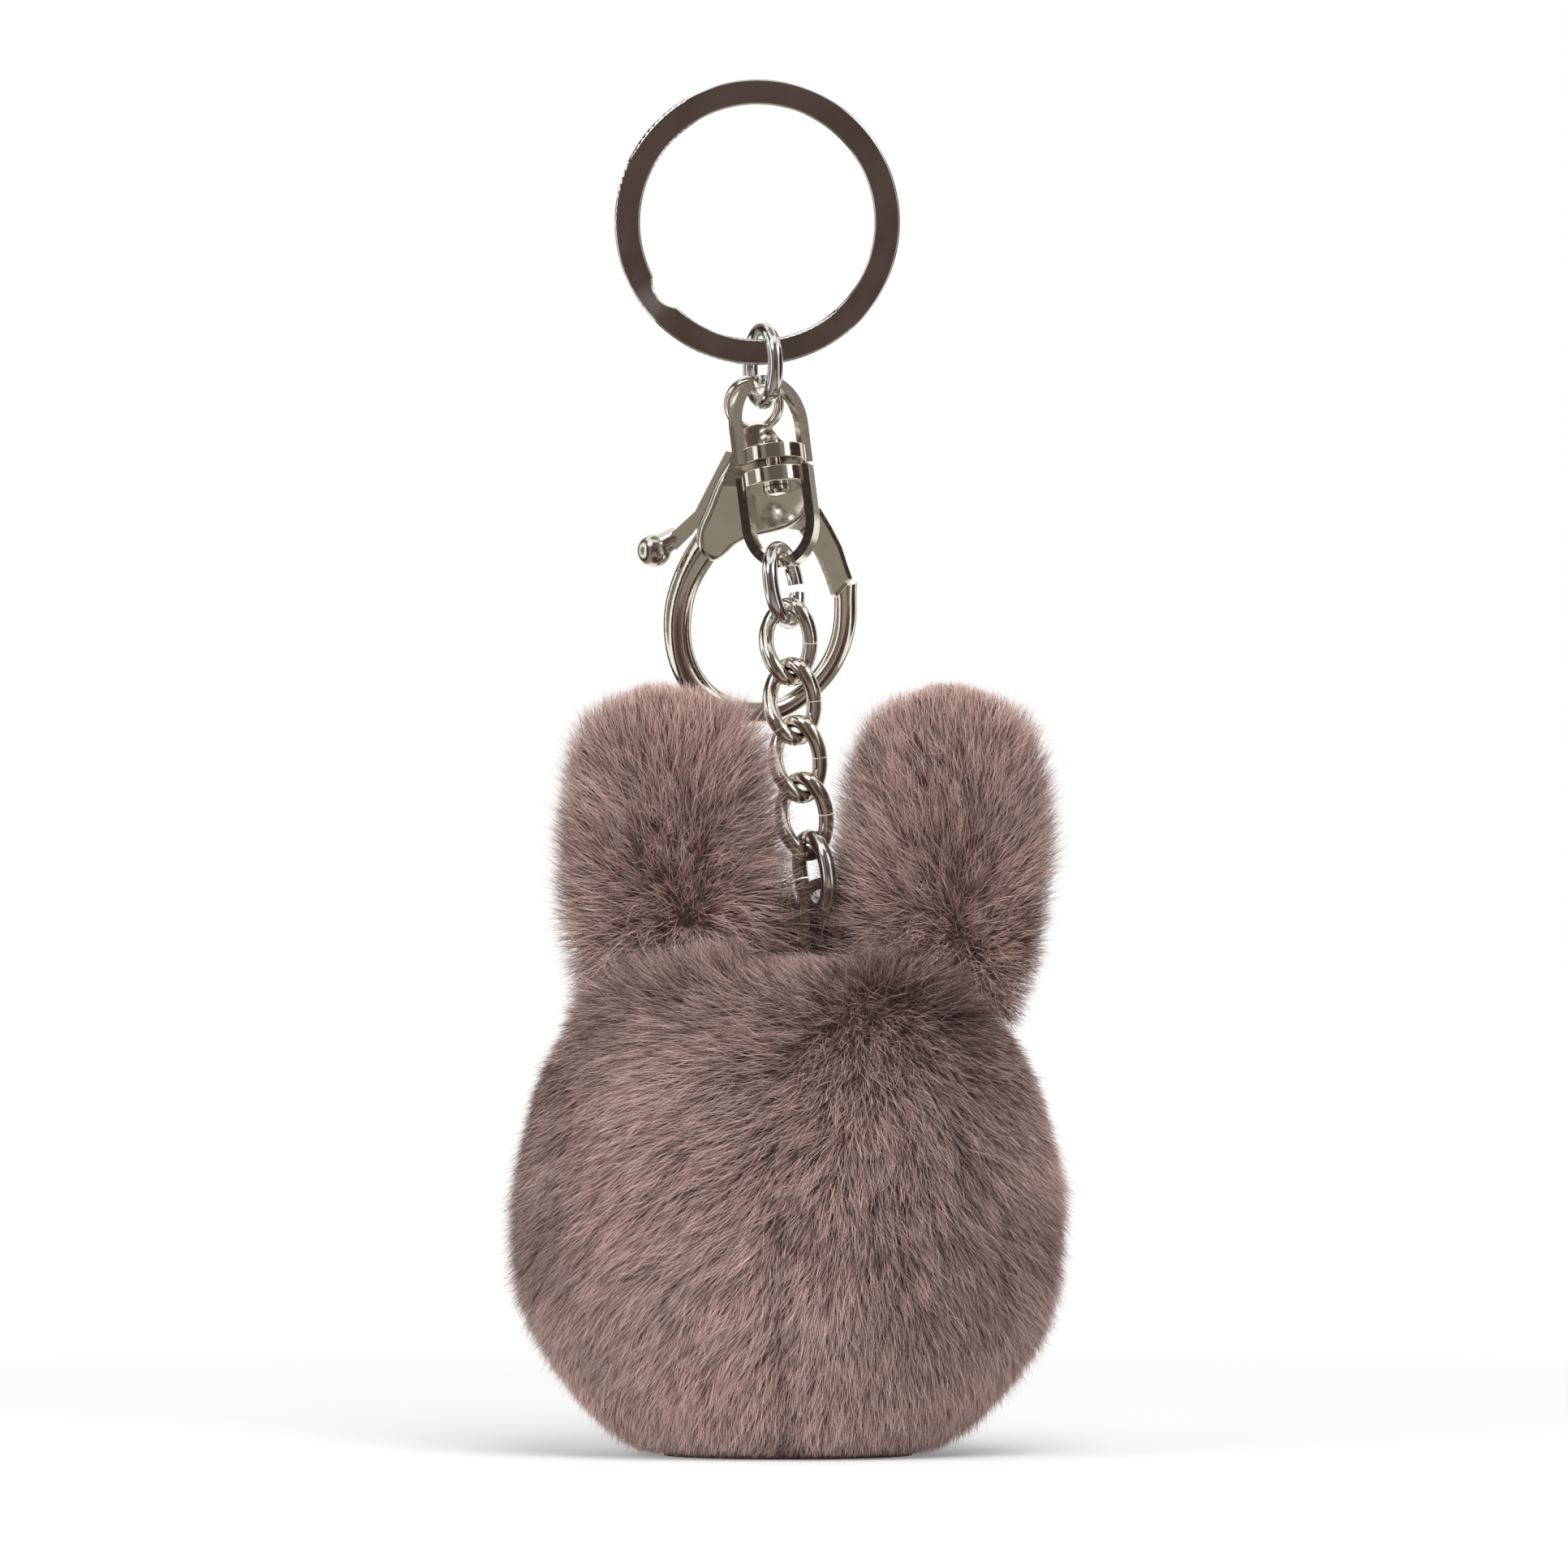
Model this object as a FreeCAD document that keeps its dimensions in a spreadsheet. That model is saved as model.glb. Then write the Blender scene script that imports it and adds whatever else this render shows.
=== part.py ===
import FreeCAD, Part
import math
import os

V = FreeCAD.Vector
os.makedirs("parts", exist_ok=True)
doc = FreeCAD.newDocument("plush_keychain")

# ---------------------------------------------------------------- driving sizes
# Lengths are in mm and angles in degrees. X is right, Y is away from the side that is
# seen first, and Z is up. The middle of the split ring is the origin.
SIZES = {
    "key_outer": 30.0, "key_inner": 24.6, "key_layer": 0.92,
    "key_crank_from": 207.0, "key_crank_to": 227.0,
    "jump_radius": 3.85, "jump_wire": 0.82, "jump_turn": 70.0,
    "swivel_disc": 3.5, "swivel_disc_high": 1.65, "swivel_gap": 0.4, "swivel_bore": 0.88,
    "strip_thick": 1.0, "strip_deep": 1.5, "stirrup_half": 4.15,
    "stirrup_up": 9.95, "stirrup_down": 10.77, "rivet_core": 0.8, "rivet_head": 1.38,
    "link_long": 9.6, "link_wide": 6.2, "link_wire": 0.8, "link_twist": 42.0,
    "clasp_eye": 2.65, "clasp_deep": 3.2, "clasp_house": 3.8, "clasp_slot": 2.1,
    "lever_thick": 1.1, "pin_core": 0.6, "spring_wire": 0.11, "spring_turns": 2.25,
    "cord_wide": 1.6, "cord_thick": 1.15, "cord_apart": 3.6,
    "head_half": 26.5, "head_deep": 22.5, "head_mid_up": -105.0, "head_right": 3.2,
    "plush_back": -10.6, "cloth": 1.0, "base_up": -129.0,
    "ear_half": 9.0, "ear_thick": 4.6, "ear_tip_up": -49.8,
    "eye_size": 5.0, "nose_wide": 5.6,
}
sheet = doc.addObject("Spreadsheet::Sheet", "sizes")
for line, (word, value) in enumerate(SIZES.items(), 1):
    sheet.set(f"A{line}", word)
    sheet.set(f"B{line}", str(value))
    sheet.setAlias(f"B{line}", word)
doc.recompute()


def size(word):
    return float(sheet.get(word))


def turned(degrees):
    """The unit vector at this angle in the XZ plane."""
    return V(math.cos(math.radians(degrees)), 0, math.sin(math.radians(degrees)))


def frame_at(point, down, turn=0.0):
    """A placement whose -Z runs along down, turned about it. Its X stays near the world's X."""
    up = V(*down).normalize() * -1
    side = V(0, 1, 0).cross(up).normalize()
    back = up.cross(side)
    base = FreeCAD.Rotation(side, back, up, "ZXY")
    return FreeCAD.Placement(V(*point), base * FreeCAD.Rotation(V(0, 0, 1), turn))


def keep(name, shape, placement=None):
    """A finished solid in its own named object."""
    if placement is None:
        placement = FreeCAD.Placement()
    part = doc.addObject("Part::Feature", name)
    part.Label = name
    part.Shape = shape
    part.Placement = placement.multiply(shape.Placement)
    return part


def loft(wires):
    return Part.makeLoft(wires, True, False)


def oval(centre, along, across, half_along, half_across):
    """A closed oval wire with its two half sizes along two directions."""
    if half_along >= half_across:
        curve = Part.Ellipse(centre + along * half_along, centre + across * half_across, centre)
    else:
        curve = Part.Ellipse(centre + across * half_across, centre - along * half_along, centre)
    return Part.Wire(curve.toShape())


def prism(points, thick, middle=0.0):
    """A flat polygon in XZ with this much thickness in Y."""
    corners = [V(x, middle - thick / 2, z) for x, z in points]
    face = Part.Face(Part.makePolygon(corners + corners[:1]))
    return face.extrude(V(0, thick, 0))


def bevelled_prism(points, thick, bevel):
    """A flat polygon in XZ whose edges on both faces are bevelled."""
    corners = [V(x, 0, z) for x, z in points]
    flat = Part.Face(Part.makePolygon(corners + corners[:1]))
    small = flat.makeOffset2D(-bevel, 2).OuterWire
    rims = []
    for wire, level in ((small, -thick / 2), (flat.OuterWire, bevel - thick / 2),
                        (flat.OuterWire, thick / 2 - bevel), (small, thick / 2)):
        rim = wire.copy()
        rim.translate(V(0, level, 0))
        rims.append(rim)
    return Part.makeLoft(rims, True, True)


def smooth_prism(points, thick, middle=0.0):
    """The same with a smooth closed curve through the points."""
    curve = Part.BSplineCurve()
    curve.interpolate([V(x, middle - thick / 2, z) for x, z in points], PeriodicFlag=True)
    return Part.Face(Part.Wire(curve.toShape())).extrude(V(0, thick, 0))


# ---------------------------------------------------------------- split ring
def ring_section(angle, layer, inner, outer):
    """A rounded flat section of the key ring's wire, at one angle and one depth."""
    half = size("key_layer") / 2
    corner = 0.26
    ray = turned(angle)
    deep = V(0, 1, 0)
    spots = []
    for r, y, start in ((outer, half, 0), (inner, half, 90), (inner, -half, 180), (outer, -half, 270)):
        sign_r = 1 if r == outer else -1
        sign_y = 1 if y > 0 else -1
        centre = ray * (r - sign_r * corner) + deep * (layer + y - sign_y * corner)
        for step in (0, 45, 90):
            a = math.radians(start + step)
            spots.append(centre + ray * (corner * math.cos(a)) + deep * (corner * math.sin(a)))
    edges = []
    for k in range(4):
        a, b, c = spots[3 * k:3 * k + 3]
        edges.append(Part.Arc(a, b, c).toShape())
        edges.append(Part.LineSegment(c, spots[(3 * k + 3) % 12]).toShape())
    return Part.Wire(edges)


def ring_arc(start, sweep, layer):
    """One flat turn of the key ring."""
    wire = ring_section(start, layer, size("key_inner") / 2, size("key_outer") / 2)
    return Part.Face(wire).revolve(V(0, 0, 0), V(0, -1, 0), sweep)


def make_split_ring():
    step = size("key_layer") + 0.04
    low = size("key_crank_from")
    high = size("key_crank_to")
    gap = 1.2
    inner = size("key_inner") / 2
    outer = size("key_outer") / 2
    front = ring_arc(high, 360 - (high - low) - gap, -step / 2)
    back = ring_arc(high + gap, 360 - (high - low) - gap, step / 2)
    neck = loft([
        ring_section(low, step / 2, inner, outer),
        ring_section(low + 6, step * 0.30, inner + 0.65, outer - 0.02),
        ring_section(high - 6, -step * 0.30, inner + 0.65, outer - 0.02),
        ring_section(high, -step / 2, inner, outer),
    ])
    return front.fuse(neck).fuse(back).removeSplitter()


keep("split_ring", make_split_ring())


# ---------------------------------------------------------------- jump rings
def add_jump_ring(name, centre, down, turn, gap_at, gap):
    """A round-wire ring with a butt joint, as a torus with its own sizes bound to the sheet."""
    ring = doc.addObject("Part::Torus", name)
    ring.Label = name
    ring.setExpression("Radius1", "sizes.jump_radius")
    ring.setExpression("Radius2", "sizes.jump_wire")
    ring.Angle3 = 360 - gap
    upright = FreeCAD.Rotation(V(1, 0, 0), 90)
    open_at = FreeCAD.Rotation(V(0, 0, 1), gap_at)
    hold = frame_at(centre, down, turn)
    ring.Placement = FreeCAD.Placement(hold.Base, hold.Rotation * upright * open_at)
    return ring


add_jump_ring("upper_jump_ring", (0.6, 0.0, -15.02), (0, 0, -1), -size("jump_turn"), 150, 3)
add_jump_ring("lower_jump_ring", (2.75, -5.05, -38.18), (0.10, -0.17, -1), 70, 8, 14)
add_jump_ring("end_ring", (5.95, -9.95, -68.28), (0.22, -0.17, -1), -68, 178, 3)


# ---------------------------------------------------------------- swivel
def stirrup(reach, tall):
    """Half of the swivel: a bent strip and its disc. The rivet's middle is its origin."""
    half = size("stirrup_half")
    thick = size("strip_thick")
    deep = size("strip_deep")
    gap = size("swivel_gap")
    bend = reach - tall
    outer = solid_under(half, tall, bend, gap, deep)
    inner = solid_under(half - thick, tall - thick, bend, gap - 5, deep + 2)
    strip = outer.cut(inner)
    disc = Part.makeCylinder(size("swivel_disc"), size("swivel_disc_high"), V(0, 0, gap))
    disc = disc.makeFillet(0.14, [e for e in disc.Edges if e.Length > 10 and e.Closed])
    bore = Part.makeCylinder(size("swivel_bore"), 9, V(0, 0, gap - 2))
    return strip.fuse(disc).cut(bore).removeSplitter()


def solid_under(half, tall, bend, floor, deep):
    """The solid under an elliptical arch with straight sides."""
    crown = Part.makeCylinder(1, deep, V(0, -deep / 2, 0), V(0, 1, 0))
    grow = FreeCAD.Matrix()
    grow.scale(half, 1, tall)
    crown = crown.transformGeometry(grow)
    crown.translate(V(0, 0, bend))
    legs = Part.makeBox(2 * half, deep, bend - floor, V(-half, -deep / 2, floor))
    return crown.fuse(legs).removeSplitter()


SWIVEL_AT = (1.75, -2.7, -25.9)
SWIVEL_DOWN = (0.125, -0.21, -1)


def make_swivel():
    upper = stirrup(size("stirrup_up"), 5.3)
    lower = stirrup(size("stirrup_down"), 5.0)
    lower.rotate(V(0, 0, 0), V(1, 0, 0), 180)
    keep("swivel_upper_stirrup", upper, frame_at(SWIVEL_AT, SWIVEL_DOWN, 20))
    keep("swivel_lower_stirrup", lower, frame_at(SWIVEL_AT, SWIVEL_DOWN, -22))


make_swivel()


def origin_plane(body, role):
    return next(f for f in body.Origin.OriginFeatures if f.Role == role)


def add_turned(name, outline, placement):
    """A PartDesign body turned about Z from a closed outline of (radius, height) points."""
    body = doc.addObject("PartDesign::Body", name)
    body.Label = name
    sketch = body.newObject("Sketcher::SketchObject", name + "_outline")
    sketch.AttachmentSupport = [(origin_plane(body, "XZ_Plane"), "")]
    sketch.MapMode = "FlatFace"
    count = len(outline)
    for k in range(count):
        a = V(*outline[k], 0)
        b = V(*outline[(k + 1) % count], 0)
        sketch.addGeometry(Part.LineSegment(a, b), False)
    turn = body.newObject("PartDesign::Revolution", name + "_turned")
    turn.Profile = sketch
    turn.ReferenceAxis = (sketch, ["V_Axis"])
    turn.Angle = 360
    body.Placement = placement
    return body


def rivet_outline():
    core = size("rivet_core")
    head = size("rivet_head")
    top = size("swivel_gap") + size("swivel_disc_high")
    play = 0.05
    half = [
        (core, 0), (core, top + play), (head, top + play), (head, top + play + 0.62),
        (head * 0.82, top + 1.02), (head * 0.45, top + 1.24), (0, top + 1.3),
    ]
    return half + [(0, -top - 0.9), (head * 0.7, -top - 0.8), (head, -top - 0.45),
                   (head, -top - play), (core, -top - play)]


add_turned("swivel_rivet", rivet_outline(), frame_at(SWIVEL_AT, SWIVEL_DOWN))


# ---------------------------------------------------------------- chain
def make_link():
    """One curb link: an oval of round wire, twisted about its length, with its butt joint at one side."""
    side = size("link_wide") / 2 - size("link_wire")
    tall = size("link_long") / 2 - size("link_wire")
    twist = math.radians(size("link_twist"))
    joint = 0.4
    spots = []
    for k in range(29):
        t = math.radians(90 + joint + (360 - 2 * joint) * k / 28)
        up = math.copysign(abs(math.cos(t)) ** 0.88, math.cos(t)) * tall
        out = math.copysign(abs(math.sin(t)) ** 0.92, math.sin(t)) * side
        lean = twist * up / tall
        spots.append(V(out * math.cos(lean), -out * math.sin(lean), up))
    path = Part.BSplineCurve()
    path.interpolate(spots)
    along = path.tangent(path.FirstParameter)[0]
    circle = Part.Wire(Part.makeCircle(size("link_wire"), spots[0], along))
    return Part.Wire(path.toShape()).makePipeShell([circle], True, False)


LINKS = (
    ((3.25, -6.05, -44.20), (0.04, -0.17, -1), 6),
    ((3.65, -7.05, -50.40), (0.08, -0.17, -1), 0),
    ((4.25, -8.05, -56.40), (0.11, -0.17, -1), 0),
    ((4.90, -9.05, -62.36), (0.12, -0.17, -1), 0),
)
link_shape = make_link()
for number, (centre, down, turn) in enumerate(LINKS, 1):
    keep(f"chain_link_{number}", link_shape.copy(), frame_at(centre, down, turn))


# ---------------------------------------------------------------- lobster clasp
# The clasp is drawn upright from the middle of its eye and then leaned back.
CLASP_AT = V(-0.35, 1.75, -19.08)
CLASP_LEAN = 14.0
clasp_hold = FreeCAD.Placement(CLASP_AT, FreeCAD.Rotation(V(1, 0, 0), CLASP_LEAN))
PIVOT = (1.1, -8.3)
TIP = (8.8, -20.75)
HOOK = (
    (-3.2, -11.77, 3.9), (-4.4, -14.31, 3.4), (-6.2, -17.15, 3.2), (-7.6, -20.4, 3.0),
    (-8.1, -24.26, 2.95), (-7.5, -27.91, 2.9), (-6.0, -30.65, 2.85), (-3.9, -32.38, 2.7),
    (-1.2, -33.24, 2.55), (1.4, -33.29, 2.5), (4.3, -32.18, 2.4), (6.9, -29.84, 2.35),
    (8.8, -26.69, 2.35), (9.6, -23.34, 2.45), (9.65, -19.28, 2.55),
)
HOUSE = (
    (-1.2, -2.44), (1.9, -2.44), (3.4, -4.67), (5.4, -7.31), (6.1, -9.74), (5.4, -11.77),
    (3.6, -13.09), (0.6, -13.91), (-2.0, -15.02), (-4.4, -16.65), (-6.0, -14.82), (-5.2, -11.37),
    (-3.6, -7.51), (-2.2, -4.67),
)


def hook_arm():
    """The open loop of the clasp as one loft through oval sections."""
    spots = [V(x, 0, z) for x, z, w in HOOK]
    path = Part.BSplineCurve()
    path.interpolate(spots)
    wires = []
    deep = V(0, 1, 0)
    for k, spot in enumerate(spots):
        along = path.tangent(path.parameter(spot))[0]
        across = deep.cross(along).normalize()
        half_deep = size("clasp_deep") / 2 - 0.02 * k
        wires.append(oval(spot, deep, across, half_deep, HOOK[k][2] / 2))
    return loft(wires)


def eye_of_clasp():
    """The eye: a ring whose oval section lets the jump ring roll in it."""
    middle = V(size("clasp_eye"), 0, 0)
    section = oval(middle, V(0, 1, 0), V(1, 0, 0), 0.9, 0.55)
    return Part.Face(section).revolve(V(0, 0, 0), V(0, 1, 0), 360)


def clasp_house():
    """The flat head that holds the lever between its two cheeks."""
    thick = size("clasp_house")
    block = smooth_prism(HOUSE, thick)
    rims = [e for e in block.Edges if e.Length > 20]
    block = block.makeFillet(0.8, rims)
    wedge = [(-0.95, 0), (-1.1, -3.0), (-1.9, -8.4), (-1.9, -20), (1.9, -20), (1.9, -8.4), (1.1, -3.0), (0.95, 0)]
    corners = [V(-12, y, z) for y, z in wedge]
    taper = Part.Face(Part.makePolygon(corners + corners[:1])).extrude(V(24, 0, 0))
    return block.common(taper)


def slot_tool():
    """What is cut away so that the lever can sit and turn."""
    outline = (
        (-9.0, -2.0), (-3.4, -2.8), (-1.35, -3.9), (0.6, -5.3), (3.2, -5.2), (9.5, -5.0),
        (9.5, -16.4), (0.8, -16.4), (-0.4, -12.4), (-1.6, -10.8), (-2.9, -9.5),
        (-5.2, -12.6), (-6.9, -14.8), (-9.0, -15.6),
    )
    return prism(outline, size("clasp_slot"))


def make_clasp_body():
    body = hook_arm().fuse(clasp_house()).fuse(eye_of_clasp())
    body = body.cut(slot_tool())
    body = body.cut(Part.makeCylinder(1.82, 6, V(0, -3, 0), V(0, 1, 0)))
    body = body.cut(Part.makeCylinder(size("pin_core"), 9, V(PIVOT[0], -4.5, PIVOT[1]), V(0, 1, 0)))
    nose = prism(((TIP[0] - 3, TIP[1] + 0.02), (TIP[0] - 0.15, TIP[1] + 0.02),
                  (TIP[0] + 2.2, TIP[1] + 2.85), (TIP[0] + 3, TIP[1] + 6), (TIP[0] - 3, TIP[1] + 6)), 8)
    return body.cut(nose)


def thumb_knob():
    """The ball and its flaring stem, turned about Z from the stem's start."""
    ball = 1.8
    reach = 3.05
    start = 0.95
    end = 1.2
    meet = reach - math.sqrt(ball ** 2 - end ** 2)
    foot = V(0, 0, 0)
    tip = V(0, 0, reach + ball)
    outline = Part.Wire([
        Part.LineSegment(foot, V(start, 0, 0)).toShape(),
        Part.LineSegment(V(start, 0, 0), V(end, 0, meet)).toShape(),
        Part.Arc(V(end, 0, meet), V(ball, 0, reach), tip).toShape(),
        Part.LineSegment(tip, foot).toShape(),
    ])
    return Part.Face(outline).revolve(V(0, 0, 0), V(0, 0, 1), 360)


def make_lever():
    """Trigger, hub and gate in one piece."""
    plate = prism((
        (3.0, -6.3), (0.9, -6.7), (-2.2, -4.95), (-2.95, -4.85), (-6.2, -11.35), (-8.5, -13.5),
        (-9.3, -14.5), (-8.2, -15.5), (-6.5, -13.8), (-4.6, -11.05), (-2.8, -8.7),
        (-1.0, -9.75), (0.2, -11.55), (2.6, -13.0), (4.85, -13.4), (6.4, -15.6), (8.2, -14.0),
        (6.7, -10.9), (5.0, -7.9),
    ), size("lever_thick"), -0.4)
    gate = bevelled_prism((
        (5.85, -12.35), (4.75, -13.45), (5.76, -14.8), (6.64, -16.4), (7.5, -18.5), (8.1, -20.4),
        (8.7, -20.56), (10.35, -18.58), (9.9, -17.3), (9.25, -15.2), (8.15, -13.0), (6.95, -10.95),
    ), 2.6, 0.4)
    knob = thumb_knob()
    knob.Placement = FreeCAD.Placement(V(-8.0, 0, -14.05), FreeCAD.Rotation(V(0, 0, 1), V(-0.82, 0, -0.57)))
    hole = Part.makeCylinder(size("pin_core") + 0.05, 9, V(PIVOT[0], -4.5, PIVOT[1]), V(0, 1, 0))
    return plate.fuse(gate).fuse(knob).cut(hole)


def make_pin():
    length = size("clasp_house") - 0.3
    return Part.makeCylinder(size("pin_core"), length, V(PIVOT[0], -length / 2, PIVOT[1]), V(0, 1, 0))


def make_spring():
    """The small torsion coil beside the lever's hub."""
    wire = size("spring_wire")
    pitch = 2 * wire + 0.02
    radius = size("pin_core") + wire + 0.12
    helix = Part.makeHelix(pitch, pitch * size("spring_turns"), radius)
    circle = Part.Wire(Part.makeCircle(wire, V(radius, 0, 0), V(0, 1, 0)))
    coil = Part.Wire(helix.Edges).makePipeShell([circle], True, True)
    coil.rotate(V(0, 0, 0), V(1, 0, 0), -90)
    coil.translate(V(PIVOT[0], 0.15 + wire + 0.06, PIVOT[1]))
    return coil


keep("clasp_body", make_clasp_body(), clasp_hold)
keep("clasp_lever", make_lever(), clasp_hold)
keep("clasp_pivot_pin", make_pin(), clasp_hold)
keep("clasp_spring", make_spring(), clasp_hold)


# ---------------------------------------------------------------- plush head
def head_half_at(up, inset=0.0):
    """Half the head's width at one height, as a share of its widest."""
    rise = up - size("head_mid_up")
    if rise > 0:
        return max(0.0, 1 - (rise / (26.8 - inset)) ** 2.7) ** (1 / 2.7)
    return max(0.0, 1 - (-rise / (26.0 - inset)) ** 2.2) ** (1 / 2.2)


def head_solid(inset):
    """The head as a loft through level ovals, all drawn in by the inset."""
    mid = size("head_mid_up")
    low = size("base_up") + size("cloth") + 0.1
    levels = [low + max(0.0, inset - 1.0), -126.0, -122.0, -116.0, -110.0]
    levels += [mid + rise * (26.8 - inset) for rise in (0.04, 0.27, 0.48, 0.66, 0.8, 0.9, 0.96, 0.99)]
    wires = []
    for up in levels:
        share = head_half_at(up, inset)
        wide = (size("head_half") - inset) * share
        deep = (size("head_deep") - inset) * share
        centre = V(size("head_right"), size("plush_back"), up)
        wires.append(oval(centre, V(1, 0, 0), V(0, 1, 0), wide, deep))
    return loft(wires)


def ear_half_at(up):
    """Half an ear's width at one height, as a share of its widest."""
    rise = up + 66.0
    if rise > 0:
        top = size("ear_tip_up") + 66.0
        return max(0.0, 1 - (rise / top) ** 2.3) ** (1 / 2.3)
    return 1 - 0.3 * (-rise / 16.0) ** 3


def ear_solid(centre_x, lean, inset):
    """One ear as a loft through level ovals; it leans outward as it rises."""
    top = size("ear_tip_up")
    levels = [-83.0, -76.0, -70.0, -64.0, -58.0, -54.0, -51.6, top - 0.25]
    wires = []
    for k, up in enumerate(levels):
        share = ear_half_at(up)
        wide = size("ear_half") * share - inset
        thick = size("ear_thick") * share ** 0.8 - inset
        level = up - (inset if k == len(levels) - 1 else 0)
        centre = V(centre_x + lean * (up + 66.0), size("plush_back"), level)
        wires.append(oval(centre, V(1, 0, 0), V(0, 1, 0), max(wide, 0.6), max(thick, 0.4)))
    return loft(wires)


def block(x0, x1, y0, y1, z0, z1):
    return Part.makeBox(x1 - x0, y1 - y0, z1 - z0, V(x0, y0, z0))


def cord_loop():
    """The plaited hanging loop as one bent cord, its ends sewn in at the top of the head."""
    wide = size("cord_wide") / 2
    thick = size("cord_thick") / 2
    turn = size("cord_apart") / 2
    foot = -84.0
    top = -69.35 - turn
    arc = Part.Arc(V(-turn, 0, top), V(0, 0, top + turn), V(turn, 0, top))
    spine = Part.Wire([
        Part.LineSegment(V(-turn, 0, foot), V(-turn, 0, top)).toShape(),
        arc.toShape(),
        Part.LineSegment(V(turn, 0, top), V(turn, 0, foot)).toShape(),
    ])
    section = oval(V(-turn, 0, foot), V(0, 1, 0), V(1, 0, 0), wide, thick)
    return spine.makePipeShell([section], True, False)


def add_base():
    """The flat bottom panel, with its oval bound to the sheet."""
    body = doc.addObject("PartDesign::Body", "base_panel")
    body.Label = "base_panel"
    sketch = body.newObject("Sketcher::SketchObject", "base_outline")
    sketch.AttachmentSupport = [(origin_plane(body, "XY_Plane"), "")]
    sketch.MapMode = "FlatFace"
    share = head_half_at(size("base_up") + 0.6)
    wide = size("head_half") * share
    deep = size("head_deep") * share
    sketch.addGeometry(Part.Ellipse(V(wide, 0, 0), V(0, deep, 0), V(0, 0, 0)), False)
    pad = body.newObject("PartDesign::Pad", "base_pad")
    pad.Profile = sketch
    pad.setExpression("Length", "sizes.cloth")
    body.Placement = FreeCAD.Placement(
        V(size("head_right"), size("plush_back"), size("base_up")), FreeCAD.Rotation())
    return body


def make_plush():
    right = size("head_right")
    back = size("plush_back")
    cloth = size("cloth")
    seam = 0.05
    outer = head_solid(0.0)
    inner = head_solid(cloth)
    fill = head_solid(cloth + 0.15)
    cord_x = 6.7
    room = block(cord_x - 2.75, cord_x + 2.75, back - 1.35, back + 1.35, -84.4, -60)
    skin = outer.cut(inner).cut(room)
    far = 60
    keep("head_back_left_panel",
         skin.common(block(right - far, right - seam, back - far, back - seam, -140, -60)))
    keep("head_back_right_panel",
         skin.common(block(right + seam, right + far, back - far, back - seam, -140, -60)))
    keep("head_front_panel",
         skin.common(block(right - far, right + far, back + seam, back + far, -140, -60)))
    keep("head_stuffing", fill.cut(room))
    clear = head_solid(-0.06)
    for side, centre_x, lean in (("left", -9.4, -0.03), ("right", 19.7, 0.02)):
        shell = ear_solid(centre_x, lean, 0.0).cut(ear_solid(centre_x, lean, cloth)).cut(clear)
        near = block(centre_x - far, centre_x + far, back - far, back - seam, -140, -40)
        away = block(centre_x - far, centre_x + far, back + seam, back + far, -140, -40)
        keep(f"ear_{side}_back_panel", shell.common(near))
        keep(f"ear_{side}_front_panel", shell.common(away))
        keep(f"ear_{side}_filling", ear_solid(centre_x, lean, cloth + 0.15).cut(clear))
    turned_loop = FreeCAD.Rotation(V(0, 0, 1), 12)
    keep("hanging_loop", cord_loop(), FreeCAD.Placement(V(cord_x, back, 0), turned_loop))


make_plush()
add_base()


# ---------------------------------------------------------------- face on the far side
def surface_back(x, up):
    """How far back the head's front panel reaches at this place."""
    share = head_half_at(up)
    wide = (x - size("head_right")) / (size("head_half") * share)
    return size("plush_back") + size("head_deep") * share * math.sqrt(1 - wide ** 2)


def dome_outline(radius, high):
    """A low dome, as (radius, height) points for turning."""
    rows = [(radius * math.cos(math.radians(a)), high * math.sin(math.radians(a))) for a in range(0, 90, 15)]
    return rows + [(0, high), (0, -0.35), (radius * 0.8, -0.35)]


def face_hold(x, up):
    """A placement on the front panel with Z pointing out of it."""
    here = V(x, surface_back(x, up), up)
    aside = V(x + 0.5, surface_back(x + 0.5, up), up) - here
    above = V(x, surface_back(x, up + 0.5), up + 0.5) - here
    out = above.cross(aside).normalize()
    return FreeCAD.Placement(here + out * 0.42, FreeCAD.Rotation(V(0, 0, 1), out))


for side, shift in (("left", -8.6), ("right", 8.6)):
    x = size("head_right") + shift
    add_turned(f"eye_{side}", dome_outline(size("eye_size") / 2, 2.2), face_hold(x, -101.5))


def make_nose():
    half = size("nose_wide") / 2
    pad = Part.makeSphere(1)
    grow = FreeCAD.Matrix()
    grow.scale(half, half * 0.66, 1.9)
    pad = pad.transformGeometry(grow)
    return pad.common(block(-9, 9, -9, 9, 0.02, 5))


keep("nose", make_nose(), face_hold(size("head_right"), -106.0))

# ---------------------------------------------------------------- check and write
doc.recompute()
NODES = [o for o in doc.Objects if o.TypeId in ("Part::Feature", "PartDesign::Body", "Part::Torus")]
for node in NODES:
    assert not {"Invalid", "Error"} & set(node.State), node.Label
    assert not node.Shape.isNull() and node.Shape.isValid(), node.Label
    solids = node.Shape.Solids
    assert len(solids) == 1, (node.Label, len(solids))
    whole = solids[0]
    assert whole.Volume > 0, node.Label
    whole.exportStep(f"parts/{node.Label}.step")
print(len(NODES), "nodes written")
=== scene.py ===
import math

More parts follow.
